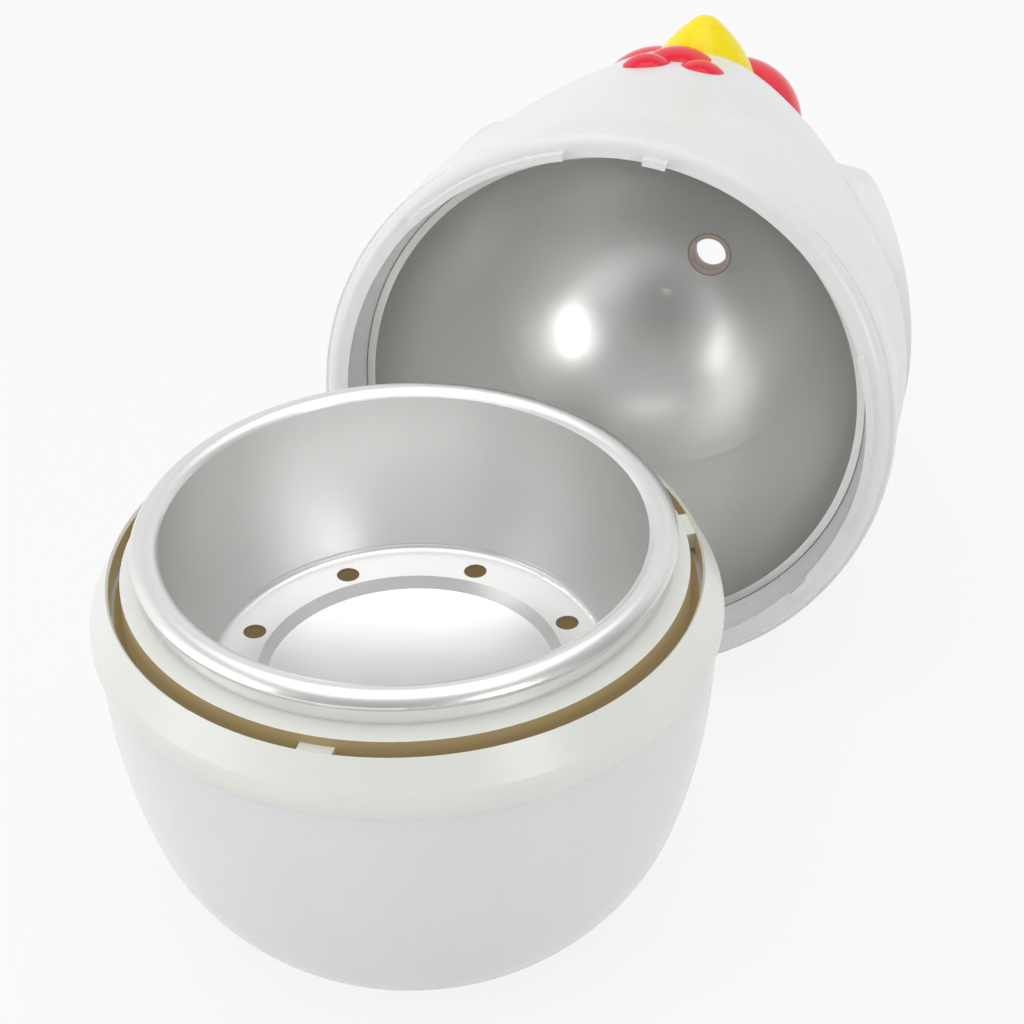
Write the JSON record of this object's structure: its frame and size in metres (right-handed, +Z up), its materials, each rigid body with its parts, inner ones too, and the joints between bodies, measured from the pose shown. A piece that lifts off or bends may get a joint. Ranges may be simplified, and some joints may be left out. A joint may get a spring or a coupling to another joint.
{
  "type": "microwave egg cooker",
  "caption": "Hen-shaped microwave egg cooker, opened: round plastic base with an aluminium egg tray on a collar, and the lid lying behind it with its lined dome in view.",
  "frame": {"origin": "centre of the base's flat foot, on the surface that it stands on", "axes": "+Z up along the base's axis; the lid lies behind the base, towards +Y, with its opening towards -Y and its beak up; +X to the viewer's right"},
  "size_m": [0.2012, 0.3012, 0.1423],
  "materials": {
    "white_plastic": "gloss",
    "cream_plastic": "gloss",
    "tray_aluminium": "satin",
    "liner_aluminium": "satin",
    "bush_plastic": "matt",
    "yellow_plastic": "gloss",
    "red_plastic": "gloss",
    "black_plastic": "gloss"
  },
  "bodies": {
    "root": {"base_bowl": "white_plastic", "base_collar": "cream_plastic", "egg_tray": "tray_aluminium", "lid_shell": "white_plastic", "lid_liner": "liner_aluminium", "vent_bush": "bush_plastic", "beak": "yellow_plastic", "wattle": "red_plastic", "comb": "red_plastic", "eye_left": "black_plastic", "eye_right": "black_plastic"}
  },
  "joints": []
}
